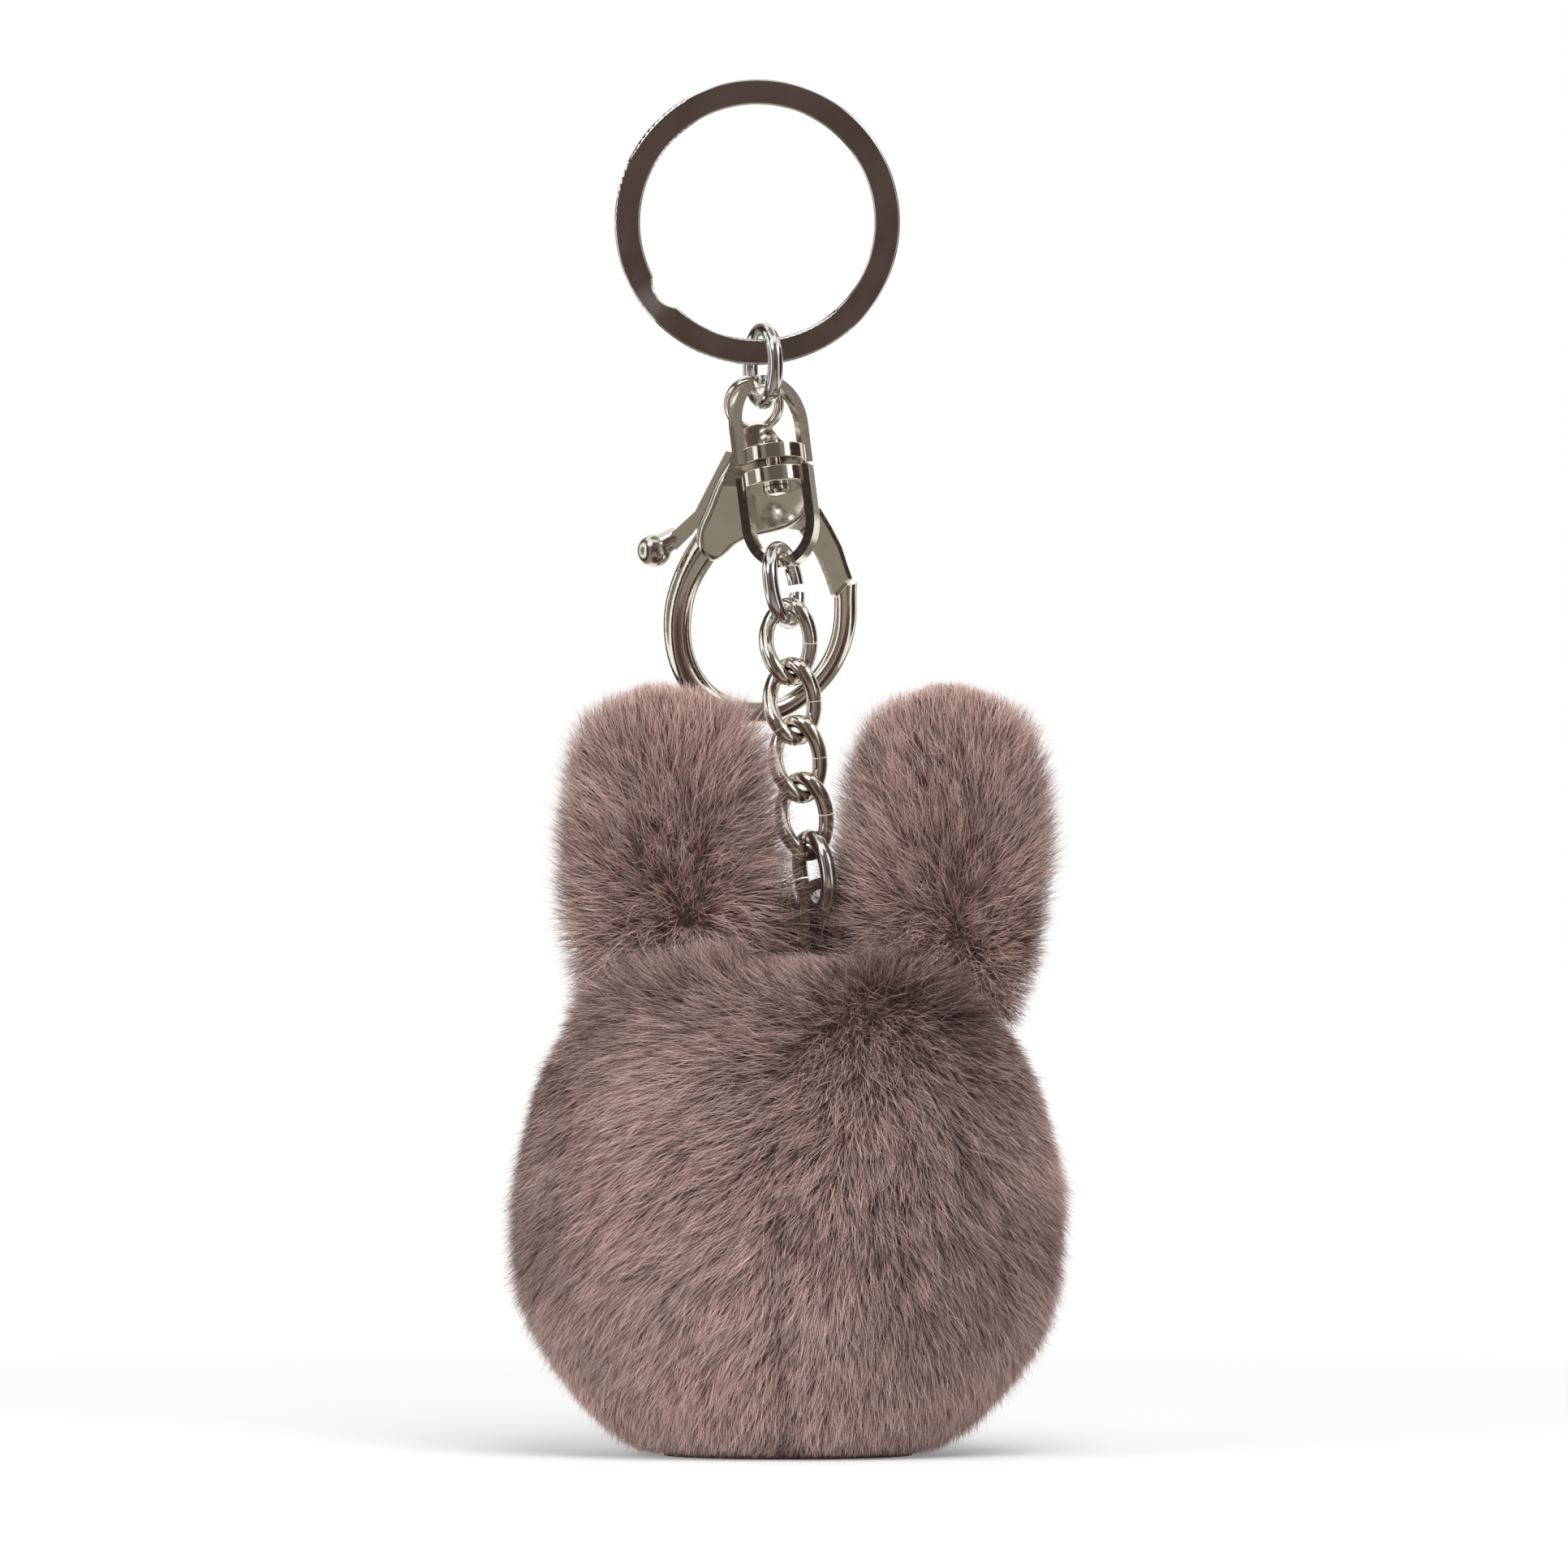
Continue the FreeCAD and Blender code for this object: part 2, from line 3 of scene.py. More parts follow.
import bpy
import numpy as np
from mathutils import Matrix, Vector


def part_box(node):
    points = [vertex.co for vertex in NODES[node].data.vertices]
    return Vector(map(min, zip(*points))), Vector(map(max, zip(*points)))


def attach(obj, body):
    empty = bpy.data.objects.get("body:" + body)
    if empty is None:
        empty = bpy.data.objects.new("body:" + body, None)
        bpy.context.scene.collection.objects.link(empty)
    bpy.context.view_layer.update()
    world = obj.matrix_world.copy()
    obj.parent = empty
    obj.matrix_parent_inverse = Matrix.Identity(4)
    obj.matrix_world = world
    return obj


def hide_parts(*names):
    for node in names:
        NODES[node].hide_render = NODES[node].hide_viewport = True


# Everything is in metres, with X to the right, Y away from the camera and Z up.
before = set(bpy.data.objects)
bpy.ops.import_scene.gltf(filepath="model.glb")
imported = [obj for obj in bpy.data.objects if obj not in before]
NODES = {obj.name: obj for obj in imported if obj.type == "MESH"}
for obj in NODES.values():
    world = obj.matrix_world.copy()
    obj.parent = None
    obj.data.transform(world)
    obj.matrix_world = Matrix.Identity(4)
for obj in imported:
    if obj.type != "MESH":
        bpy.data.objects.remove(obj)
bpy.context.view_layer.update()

MM = 0.001


# ---------------------------------------------------------------- places read from the frame
def box_of(node):
    low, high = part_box(node)
    return np.array(low), np.array(high)


face_low, face_high = box_of("head_front_panel")
base_low, base_high = box_of("base_panel")
HEAD_X = (face_low[0] + face_high[0]) / 2
HEAD_Y = face_low[1]
HEAD_HALF = (face_high[0] - face_low[0]) / 2
HEAD_DEEP = face_high[1] - face_low[1]
HEAD_UP = 26.8 * MM
HEAD_DOWN = 26.0 * MM
HEAD_Z = -105 * MM
FLOOR_Z = base_low[2]
EAR_BELLY = -66 * MM


# ---------------------------------------------------------------- small helpers
def unit(vectors):
    return vectors / np.maximum(np.linalg.norm(vectors, axis=-1, keepdims=True), 1e-12)


def smooth(value, start, end):
    """0 at start, 1 at end, with a smooth rise between them."""
    t = np.clip((value - start) / (end - start), 0, 1)
    return t * t * (3 - 2 * t)


def mesh_piece(name, points, corners, sizes, body, material, replaces=()):
    """A new mesh object. corners run through the faces, and sizes count each face's corners."""
    mesh = bpy.data.meshes.new(name)
    mesh.vertices.add(len(points))
    mesh.vertices.foreach_set("co", np.ascontiguousarray(points, dtype=np.float32).ravel())
    mesh.loops.add(len(corners))
    mesh.loops.foreach_set("vertex_index", np.ascontiguousarray(corners, dtype=np.int32))
    mesh.polygons.add(len(sizes))
    starts = np.concatenate([[0], np.cumsum(sizes)[:-1]])
    mesh.polygons.foreach_set("loop_start", starts.astype(np.int32))
    mesh.update(calc_edges=True)
    mesh.polygons.foreach_set("use_smooth", np.ones(len(sizes), dtype=bool))
    mesh.materials.append(material)
    piece = bpy.data.objects.new(name, mesh)
    bpy.context.scene.collection.objects.link(piece)
    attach(piece, body)
    if replaces:
        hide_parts(*replaces)
    return piece


class Noise:
    """Smooth noise from -1 to 1 on a random lattice that repeats every 32 cells."""

    def __init__(self, seed, cell):
        self.table = np.random.default_rng(seed).uniform(-1, 1, (32, 32, 32))
        self.cell = cell

    def __call__(self, points):
        place = points / self.cell
        low = np.floor(place).astype(int)
        t = place - low
        t = t * t * (3 - 2 * t)
        total = np.zeros(len(points))
        for dx in (0, 1):
            for dy in (0, 1):
                for dz in (0, 1):
                    weight = (np.where(dx, t[:, 0], 1 - t[:, 0]) * np.where(dy, t[:, 1], 1 - t[:, 1])
                              * np.where(dz, t[:, 2], 1 - t[:, 2]))
                    total += weight * self.table[(low[:, 0] + dx) % 32, (low[:, 1] + dy) % 32,
                                                 (low[:, 2] + dz) % 32]
        return total

    def slope(self, points):
        step = 0.1 * self.cell
        here = self(points)
        return np.stack([(self(points + step * axis) - here) / 0.1 for axis in np.eye(3)], axis=1)


# ---------------------------------------------------------------- materials
def new_material(name):
    material = bpy.data.materials.new(name)
    material.use_nodes = True
    nodes = material.node_tree.nodes
    return material, nodes, material.node_tree.links, nodes["Principled BSDF"]


def ramp(nodes, stops):
    node = nodes.new("ShaderNodeValToRGB")
    while len(node.color_ramp.elements) < len(stops):
        node.color_ramp.elements.new(0.5)
    for element, (place, colour) in zip(node.color_ramp.elements, stops):
        element.position = place
        element.color = (*colour, 1)
    return node


def noise_node(nodes, links, scale, detail=4.0):
    where = nodes.new("ShaderNodeTexCoord")
    node = nodes.new("ShaderNodeTexNoise")
    node.inputs["Scale"].default_value = scale
    node.inputs["Detail"].default_value = detail
    links.new(where.outputs["Object"], node.inputs["Vector"])
    return node


def nickel(name, colour, dark, smoothness, grain, bump):
    """Polished plating, whose roughness and colour change a little over the surface, with fine marks."""
    material, nodes, links, shader = new_material(name)
    shader.inputs["Metallic"].default_value = 1.0
    cloud = noise_node(nodes, links, 160)
    tint = ramp(nodes, [(0.3, dark), (0.7, colour)])
    links.new(cloud.outputs["Fac"], tint.inputs["Fac"])
    links.new(tint.outputs["Color"], shader.inputs["Base Color"])
    fine = noise_node(nodes, links, grain, 6.0)
    rough = nodes.new("ShaderNodeMapRange")
    rough.inputs["From Min"].default_value = 0.3
    rough.inputs["From Max"].default_value = 0.7
    rough.inputs["To Min"].default_value = smoothness * 0.6
    rough.inputs["To Max"].default_value = smoothness * 1.5
    links.new(fine.outputs["Fac"], rough.inputs["Value"])
    links.new(rough.outputs["Result"], shader.inputs["Roughness"])
    relief = nodes.new("ShaderNodeBump")
    relief.inputs["Strength"].default_value = bump
    relief.inputs["Distance"].default_value = 0.00005
    links.new(fine.outputs["Fac"], relief.inputs["Height"])
    links.new(relief.outputs["Normal"], shader.inputs["Normal"])
    return material


def pile_material(name, root, middle, tip):
    """Fur fibre: dark at the root and paler at the tip, with strands and patches of different shades; the
    same shade channel also carries painted shade and light.
    """
    material, nodes, links, shader = new_material(name)
    shader.inputs["Roughness"].default_value = 0.62
    shader.inputs["Specular IOR Level"].default_value = 0.25
    shader.inputs["Sheen Weight"].default_value = 0.08
    shader.inputs["Sheen Roughness"].default_value = 0.4
    shader.inputs["Sheen Tint"].default_value = (*tip, 1)
    pile = nodes.new("ShaderNodeAttribute")
    pile.attribute_name = "pile"
    parts = nodes.new("ShaderNodeSeparateColor")
    links.new(pile.outputs["Color"], parts.inputs["Color"])
    along = ramp(nodes, [(0.0, root), (0.45, middle), (1.0, tip)])
    links.new(parts.outputs["Red"], along.inputs["Fac"])
    shade = nodes.new("ShaderNodeHueSaturation")
    bright = nodes.new("ShaderNodeMapRange")
    bright.inputs["To Min"].default_value = 0.50
    bright.inputs["To Max"].default_value = 1.52
    links.new(parts.outputs["Green"], bright.inputs["Value"])
    links.new(bright.outputs["Result"], shade.inputs["Value"])
    rich = nodes.new("ShaderNodeMapRange")
    rich.inputs["To Min"].default_value = 0.82
    rich.inputs["To Max"].default_value = 1.12
    links.new(parts.outputs["Blue"], rich.inputs["Value"])
    links.new(rich.outputs["Result"], shade.inputs["Saturation"])
    links.new(along.outputs["Color"], shade.inputs["Color"])
    links.new(shade.outputs["Color"], shader.inputs["Base Color"])
    return material


def woven(name, colour, dark, scale):
    """Knitted backing cloth."""
    material, nodes, links, shader = new_material(name)
    shader.inputs["Roughness"].default_value = 0.9
    shader.inputs["Sheen Weight"].default_value = 0.1
    weave = noise_node(nodes, links, scale, 3.0)
    tint = ramp(nodes, [(0.35, dark), (0.65, colour)])
    links.new(weave.outputs["Fac"], tint.inputs["Fac"])
    links.new(tint.outputs["Color"], shader.inputs["Base Color"])
    relief = nodes.new("ShaderNodeBump")
    relief.inputs["Strength"].default_value = 0.5
    relief.inputs["Distance"].default_value = 0.0001
    links.new(weave.outputs["Fac"], relief.inputs["Height"])
    links.new(relief.outputs["Normal"], shader.inputs["Normal"])
    return material


FUR_ROOT = (0.060, 0.030, 0.025)
FUR_MIDDLE = (0.350, 0.218, 0.192)
FUR_TIP = (0.540, 0.405, 0.372)

WARM = nickel("warm_nickel_plate", (0.80, 0.76, 0.69), (0.70, 0.66, 0.60), 0.10, 2500, 0.12)
BRIGHT = nickel("bright_nickel_plate", (0.86, 0.85, 0.85), (0.60, 0.59, 0.59), 0.09, 3000, 0.10)
CAST = nickel("cast_nickel_plate", (0.78, 0.74, 0.67), (0.66, 0.62, 0.56), 0.17, 1600, 0.35)
STEEL = nickel("spring_steel_wire", (0.45, 0.45, 0.46), (0.30, 0.30, 0.31), 0.30, 4000, 0.2)
FUR = pile_material("fur_fibre", FUR_ROOT, FUR_MIDDLE, FUR_TIP)
BACKING = woven("fur_backing_knit", (0.090, 0.050, 0.043), (0.050, 0.026, 0.022), 3000)
CORD = woven("plaited_cord_yarn", (0.100, 0.056, 0.045), (0.035, 0.018, 0.014), 6000)
FLOCK = woven("flocked_nose", (0.16, 0.070, 0.062), (0.090, 0.035, 0.030), 9000)


def eye_material():
    material, nodes, links, shader = new_material("gloss_black_eye")
    swirl = noise_node(nodes, links, 500)
    tint = ramp(nodes, [(0.3, (0.006, 0.005, 0.005)), (0.7, (0.014, 0.010, 0.009))])
    links.new(swirl.outputs["Fac"], tint.inputs["Fac"])
    links.new(tint.outputs["Color"], shader.inputs["Base Color"])
    shader.inputs["Roughness"].default_value = 0.06
    shader.inputs["Coat Weight"].default_value = 0.5
    return material


def dress(material, *names):
    """Gives carried-over CAD nodes their material."""
    for name in names:
        for slot in NODES[name].material_slots:
            slot.material = material


dress(WARM, "swivel_upper_stirrup", "swivel_lower_stirrup", "swivel_rivet",
      "chain_link_1", "chain_link_2", "chain_link_3", "chain_link_4", "clasp_body", "clasp_pivot_pin")
dress(CAST, "clasp_lever")
dress(BRIGHT, "split_ring", "upper_jump_ring", "lower_jump_ring", "end_ring")
dress(STEEL, "clasp_spring")
dress(eye_material(), "eye_left", "eye_right")
dress(FLOCK, "nose")


# ---------------------------------------------------------------- cloth surfaces
def curve_power(angle, power):
    """The two sides of a superellipse at this angle, each from 0 to 1."""
    return np.cos(angle) ** (2 / power), np.sin(angle) ** (2 / power)


def head_surface(turn, climb):
    """A point on the head: turn runs round it, and climb from the base, at -1, to the top, at 1."""
    low_angle = np.arcsin((23 / 26.0) ** 1.1)
    across_up, rise = curve_power(np.clip(climb, 0, 1) * math.pi / 2 * 0.999, 2.7)
    across_down, drop = curve_power(np.clip(-climb, 0, 1) * low_angle, 2.2)
    across = np.where(climb > 0, across_up, across_down)
    height = np.where(climb > 0, HEAD_UP * rise, -HEAD_DOWN * drop)
    points = np.stack([
        HEAD_X + HEAD_HALF * across * np.cos(turn),
        HEAD_Y + HEAD_DEEP * across * np.sin(turn),
        HEAD_Z + height,
    ], axis=-1)
    return points


class Ear:
    """One ear's cloth: an oval section that narrows to the root and closes in a round tip."""

    def __init__(self, side):
        low, high = box_of(f"ear_{side}_back_panel")
        far_low, far_high = box_of(f"ear_{side}_front_panel")
        self.side = side
        self.half = 9.0 * MM
        self.thick = 4.6 * MM
        self.lean = -0.03 if side == "left" else 0.02
        self.tip = high[2]
        self.rise = self.tip + 0.2 * MM - EAR_BELLY
        self.x = (low[0] + high[0]) / 2
        self.y = (low[1] + far_high[1]) / 2

    def surface(self, turn, climb):
        """climb runs from the root, at -1, to the tip, at 1."""
        across_up, rise = curve_power(np.clip(climb, 0, 1) * math.pi / 2 * 0.999, 2.3)
        down = np.clip(-climb, 0, 1)
        share = np.where(climb > 0, across_up, 1 - 0.3 * (down * 17 / 16) ** 3)
        height = np.where(climb > 0, self.rise * rise, -17 * MM * down)
        return np.stack([
            self.x + self.lean * height + self.half * share * np.cos(turn),
            self.y + self.thick * share ** 0.8 * np.sin(turn),
            EAR_BELLY + height,
        ], axis=-1)


EARS = {side: Ear(side) for side in ("left", "right")}


def surface_frame(surface, turn, climb):
    """Points, outward normals and area factors of a surface at these places."""
    step = 1e-3
    here = surface(turn, climb)
    round_ = (surface(turn + step, climb) - surface(turn - step, climb)) / (2 * step)
    above = surface(turn, np.minimum(climb + step, 1))
    below = surface(turn, np.maximum(climb - step, -1))
    up = (above - below) / (2 * step)
    cross = np.cross(round_, up)
    area = np.linalg.norm(cross, axis=-1)
    return here, unit(cross), area


def skin_piece(name, surface, start, end, body, replaces):
    """The backing cloth between two turns, as a smooth grid."""
    turns = np.linspace(start, end, 64)
    climbs = np.linspace(-1, 1, 72)
    turn, climb = np.meshgrid(turns, climbs, indexing="ij")
    points = surface(turn.ravel(), climb.ravel())
    rows = len(climbs)
    first = (np.arange(len(turns) - 1)[:, None] * rows + np.arange(rows - 1)).ravel()
    corners = np.stack([first, first + rows, first + rows + 1, first + 1], axis=1)
    piece = mesh_piece(name, points, corners.ravel(), np.full(len(corners), 4), body, BACKING, replaces)
    return piece


skin_piece("skin_head_back_left", head_surface, -math.pi, -math.pi / 2, "plush",
           ("head_back_left_panel", "head_stuffing"))
skin_piece("skin_head_back_right", head_surface, -math.pi / 2, 0, "plush", ("head_back_right_panel",))
skin_piece("skin_head_front", head_surface, 0, math.pi, "plush", ("head_front_panel",))
for side, ear in EARS.items():
    skin_piece(f"skin_ear_{side}_back", ear.surface, -math.pi, 0, "plush",
               (f"ear_{side}_back_panel", f"ear_{side}_filling"))
    skin_piece(f"skin_ear_{side}_front", ear.surface, 0, math.pi, "plush", (f"ear_{side}_front_panel",))


# ---------------------------------------------------------------- fur
STATIONS = np.array([0.0, 0.32, 0.66, 1.0])
MOST_HAIRS = 39000
HEAD_PILE = 4.2
EAR_PILE = 4.1
MEETING_PILE = 6.0
HAIR_WIDTH = 0.062 * MM
STRAYS = 0.07


def scatter(surface, start, end, low, high, per_mm2, rng):
    """Random places on a stretch of a surface, evenly spread by area."""
    turn = rng.uniform(start, end, 6000)
    climb = rng.uniform(low, high, 6000)
    area = surface_frame(surface, turn, climb)[2]
    most = np.percentile(area, 99.8)
    count = int(area.mean() * (end - start) * (high - low) / MM ** 2 * per_mm2)
    tries = int(count * most / area.mean() * 1.05)
    turn = rng.uniform(start, end, tries)
    climb = rng.uniform(low, high, tries)
    area = surface_frame(surface, turn, climb)[2]
    keep = rng.uniform(0, most, tries) < area
    return turn[keep][:count], climb[keep][:count]


def tangent_part(vectors, normals):
    return vectors - normals * np.sum(vectors * normals, axis=1, keepdims=True)


CLUMPS = Noise(5, 1.5 * MM)
TUFTS = Noise(6, 4.2 * MM)
PATCHES = Noise(7, 7.0 * MM)


def hair_lines(roots, normals, flow, length, lie, rng):
    """Four points along each hair. lie runs from 0, standing up, to 1, lying along flow."""
    count = len(roots)
    shake = rng.normal(0, 1, (count, 3))
    lie = np.clip(lie, 0, 1)[:, None]
    start = unit(normals * (1.0 - 0.30 * lie) + flow * (0.15 + 0.45 * lie) + 0.10 * shake)
    clump = tangent_part(CLUMPS.slope(roots), normals) * 0.20
    clump = clump + tangent_part(TUFTS.slope(roots), normals) * 0.10
    end = unit(normals * (0.80 - 0.42 * lie) + flow * (0.25 + 0.80 * lie) + clump + 0.20 * shake)
    wave = tangent_part(rng.normal(0, 1, (count, 3)), start)
    t = STATIONS[None, :, None]
    reach = length[:, None, None]
    lines = roots[:, None] + reach * (start[:, None] * (t - t * t / 2) + end[:, None] * (t * t / 2))
    lines += reach * wave[:, None] * 0.045 * np.sin(t * math.pi * 1.6)
    lines[:, 0] -= normals * 0.15 * MM
    return lines


def hair_ribbons(lines, width, rng):
    """Ribbon vertices for each hair: two at each station but the tip."""
    along = unit(lines[:, 2] - lines[:, 0])
    side = unit(np.cross(along, unit(rng.normal(0, 1, along.shape))))
    half = width[:, None] / 2
    rows = []
    for k, share in enumerate((1.0, 0.95, 0.62)):
        rows.append(lines[:, k] - side * half * share)
        rows.append(lines[:, k] + side * half * share)
    rows.append(lines[:, 3])
    return np.stack(rows, axis=1)


def fur_piece(name, lines, width, shade, patch, rng):
    """One mesh of tapered ribbons, with each point's place along its hair and its shade.
    The darkest hairs keep near their root's colour all along."""
    points = hair_ribbons(lines, width, rng)
    count = len(points)
    first = np.arange(count)[:, None] * 7
    quads = (first[:, :, None] + np.array([[0, 1, 3, 2], [2, 3, 5, 4]])).reshape(count, 8)
    corners = np.concatenate([quads, first + np.array([4, 5, 6])], axis=1)
    sizes = np.tile([4, 4, 3], count)
    piece = mesh_piece(name, points.reshape(-1, 3), corners.ravel(), sizes, "plush", FUR)
    colour = np.ones((count, 7, 4), dtype=np.float32)
    paler = 0.25 + 0.75 * smooth(shade, 0.0, 0.25)
    colour[:, :, 0] = paler[:, None] * np.array([0.0, 0.0, 0.32, 0.32, 0.68, 0.68, 1.0])
    colour[:, :, 1] = shade[:, None]
    colour[:, :, 2] = patch[:, None]
    layer = piece.data.color_attributes.new("pile", "FLOAT_COLOR", "POINT")
    layer.data.foreach_set("color", colour.ravel())
    return piece


def grow(name, surface, start, end, low, high, per_mm2, shape, tone, seed):
    """Covers a stretch of cloth with fur, in as many pieces as its hairs need."""
    rng = np.random.default_rng(seed)
    turn, climb = scatter(surface, start, end, low, high, per_mm2, rng)
    roots, normals, _ = surface_frame(surface, turn, climb)
    keep, flow, length, lie, width = shape(roots, normals, rng)
    roots, normals, flow, length, lie, width = (a[keep] for a in (roots, normals, flow, length, lie, width))
    count = len(roots)
    lines = hair_lines(roots, normals, flow, length, lie, rng)
    lines[:, :, 2] = np.maximum(lines[:, :, 2], FLOOR_Z + rng.uniform(0, 0.5, (count, 1)) * MM)
    shade = 0.5 + 0.24 * rng.normal(0, 1, count) + 0.10 * PATCHES(roots) + 0.14 * CLUMPS(roots)
    # the tone adds painted shade and light to each hair's own random shade
    shade = np.clip(shade + tone(roots, normals), 0, 1)
    patch = np.clip(0.5 + 0.25 * rng.normal(0, 1, count) + 0.2 * PATCHES(roots + 0.05), 0, 1)
    order = rng.permutation(count)
    pieces = math.ceil(count / MOST_HAIRS)
    for k in range(pieces):
        part = order[k::pieces]
        fur_piece(f"{name}_{k + 1}", lines[part], width[part], shade[part], patch[part], rng)
    return count


def in_head(points, spare):
    """True for points inside the head's cloth, grown by spare."""
    rise = points[:, 2] - HEAD_Z
    up = np.clip(1 - (np.maximum(rise, 0) / (HEAD_UP + spare)) ** 2.7, 0, 1) ** (1 / 2.7)
    down = np.clip(1 - (np.maximum(-rise, 0) / (HEAD_DOWN + spare)) ** 2.2, 0, 1) ** (1 / 2.2)
    share = np.where(rise > 0, up, down)
    wide = np.maximum((HEAD_HALF + spare) * share, 1e-6)
    deep = np.maximum((HEAD_DEEP + spare) * share, 1e-6)
    return ((points[:, 0] - HEAD_X) / wide) ** 2 + ((points[:, 1] - HEAD_Y) / deep) ** 2 < 1


def in_ear(points, ear, spare):
    """True for points inside an ear's root."""
    down = np.clip((EAR_BELLY - points[:, 2]) / (16 * MM), 0, 1.3)
    share = 1 - 0.3 * down ** 3
    height = points[:, 2] - EAR_BELLY
    x = (points[:, 0] - ear.x - ear.lean * height) / (ear.half * share + spare)
    y = (points[:, 1] - ear.y) / (ear.thick * share ** 0.8 + spare)
    return (x ** 2 + y ** 2 < 1) & (points[:, 2] < EAR_BELLY)


loop_low, loop_high = box_of("hanging_loop")
LOOP_X = (loop_low[0] + loop_high[0]) / 2
EYES = [sum(box_of(f"eye_{side}")) / 2 for side in ("left", "right")]
NOSE = sum(box_of("nose")) / 2


def seam_at(roots, normals):
    """Most on the seam down the middle of the back, falling away to its sides and towards the top."""
    line = np.exp(-((roots[:, 0] - HEAD_X) / (1.2 * MM)) ** 2) * (normals[:, 1] < 0)
    return line * (1 - 0.65 * smooth((roots[:, 2] - HEAD_Z) / HEAD_UP, -0.1, 0.6))


def behind_loop_at(roots):
    """1 on the top of the head just behind the loop, where the fur of both ears' roots meets."""
    gap = np.abs(roots[:, 0] - LOOP_X)
    behind = roots[:, 1] - HEAD_Y
    top = smooth(roots[:, 2] - HEAD_Z, 0.80 * HEAD_UP, HEAD_UP)
    band = smooth(behind, 0.3 * MM, 1.2 * MM) * (1 - smooth(behind, 3.0 * MM, 6.0 * MM))
    return top * band * (1 - smooth(gap, 4.5 * MM, 7.5 * MM))


def collar_at(roots):
    """1 on the top of the head round the ears' roots, where the fur is long and tangled."""
    top = smooth(roots[:, 2] - HEAD_Z, 0.74 * HEAD_UP, 0.90 * HEAD_UP)
    near = [1 - smooth(np.abs(roots[:, 0] - ear.x), 7 * MM, 10 * MM) for ear in EARS.values()]
    inside = 1 - smooth(np.abs(roots[:, 0] - HEAD_X) / HEAD_HALF, 0.55, 0.78)
    return top * inside * np.maximum(*near) * (1 - smooth(np.abs(roots[:, 1] - HEAD_Y), 10 * MM, 15 * MM))


def head_shape(roots, normals, rng):
    """How the head's fur grows: down, to the left at the upper left, and outward at the right."""
    count = len(roots)
    across = (roots[:, 0] - HEAD_X) / HEAD_HALF
    height = (roots[:, 2] - HEAD_Z) / HEAD_UP
    sweep = -0.16 + 0.42 * across + 0.25 * np.maximum(across, 0) ** 2
    sweep -= 0.9 * np.clip(0.5 + 0.6 * height, 0, 1) * np.exp(-((across + 0.2) / 0.5) ** 2)
    behind = smooth(-normals[:, 1], -0.3, 0.4)
    sweep = sweep * behind + 0.5 * across * (1 - behind)
    down = np.stack([sweep, np.zeros(count), -np.sqrt(np.clip(1 - sweep ** 2, 0.2, 1))], axis=1)
    flow = unit(tangent_part(down, normals))
    collar = collar_at(roots)
    turned = 0.25 * TUFTS(roots + 0.3)
    turned += (0.5 * smooth(height, 0.70, 0.95) + 0.9 * collar) * rng.normal(0, 1, count)
    aside = np.cross(normals, flow)
    flow = unit(flow + aside * turned[:, None])
    crown = smooth(height, 0.80, 1.0)
    length = (HEAD_PILE + 0.5 * PATCHES(roots) + 0.40 * rng.normal(0, 1, count)) * MM
    behind_loop = behind_loop_at(roots)
    length *= (1 - 0.45 * crown) * (1 + 2.2 * behind_loop) * (1 + 0.95 * collar)
    shoulder = smooth(height, 0.15, 0.45) * (1 - smooth(height, 0.72, 0.88))
    shoulder = shoulder * smooth(np.abs(across), 0.45, 0.85)
    length *= 1 - 0.33 * shoulder
    length *= 1 - 0.34 * seam_at(roots, normals)
    length *= 1 - 0.38 * smooth(-height, 0.15, 0.60)
    length = np.minimum(length, 0.5 * MM + 0.75 * (roots[:, 2] - FLOOR_Z))
    keep = np.ones(count, dtype=bool)
    for spot, bare in ((EYES[0], 2.3), (EYES[1], 2.3), (NOSE, 2.4)):
        gap = np.linalg.norm((roots - spot)[:, [0, 2]], axis=1) / MM
        facing = normals[:, 1] > 0
        length = np.where(facing, length * (0.25 + 0.75 * smooth(gap, bare, bare + 5)), length)
        keep &= ~(facing & (gap < bare))
    gap = np.hypot((roots[:, 0] - LOOP_X) / (2.9 * MM), (roots[:, 1] - HEAD_Y) / (1.5 * MM))
    keep &= ~((gap < 1) & (height > 0.6))
    for ear in EARS.values():
        keep &= ~in_ear(roots, ear, 0.3 * MM)
    lie = 0.84 - 0.80 * behind_loop - 0.50 * collar + 0.14 * shoulder + 0.16 * smooth(-height, 0.15, 0.6)
    lie += 0.12 * rng.normal(0, 1, count)
    stray = rng.uniform(0, 1, count) < STRAYS
    lie = np.where(stray, lie * 0.45, lie)
    length = np.where(stray, length * 1.15, length)
    width = np.full(count, HAIR_WIDTH) * rng.uniform(0.7, 1.2, count) * (1 + 0.9 * behind_loop)
    width = np.where(stray, width * 0.6, width)
    return keep, flow, np.maximum(length, 0.6 * MM), lie, width


def tuft_shape(roots, normals, rng):
    """The head's fur again, kept only behind the loop, where it is dense and long."""
    keep, flow, length, lie, width = head_shape(roots, normals, rng)
    return keep & (behind_loop_at(roots) > 0.3), flow, length * 1.25, lie, width


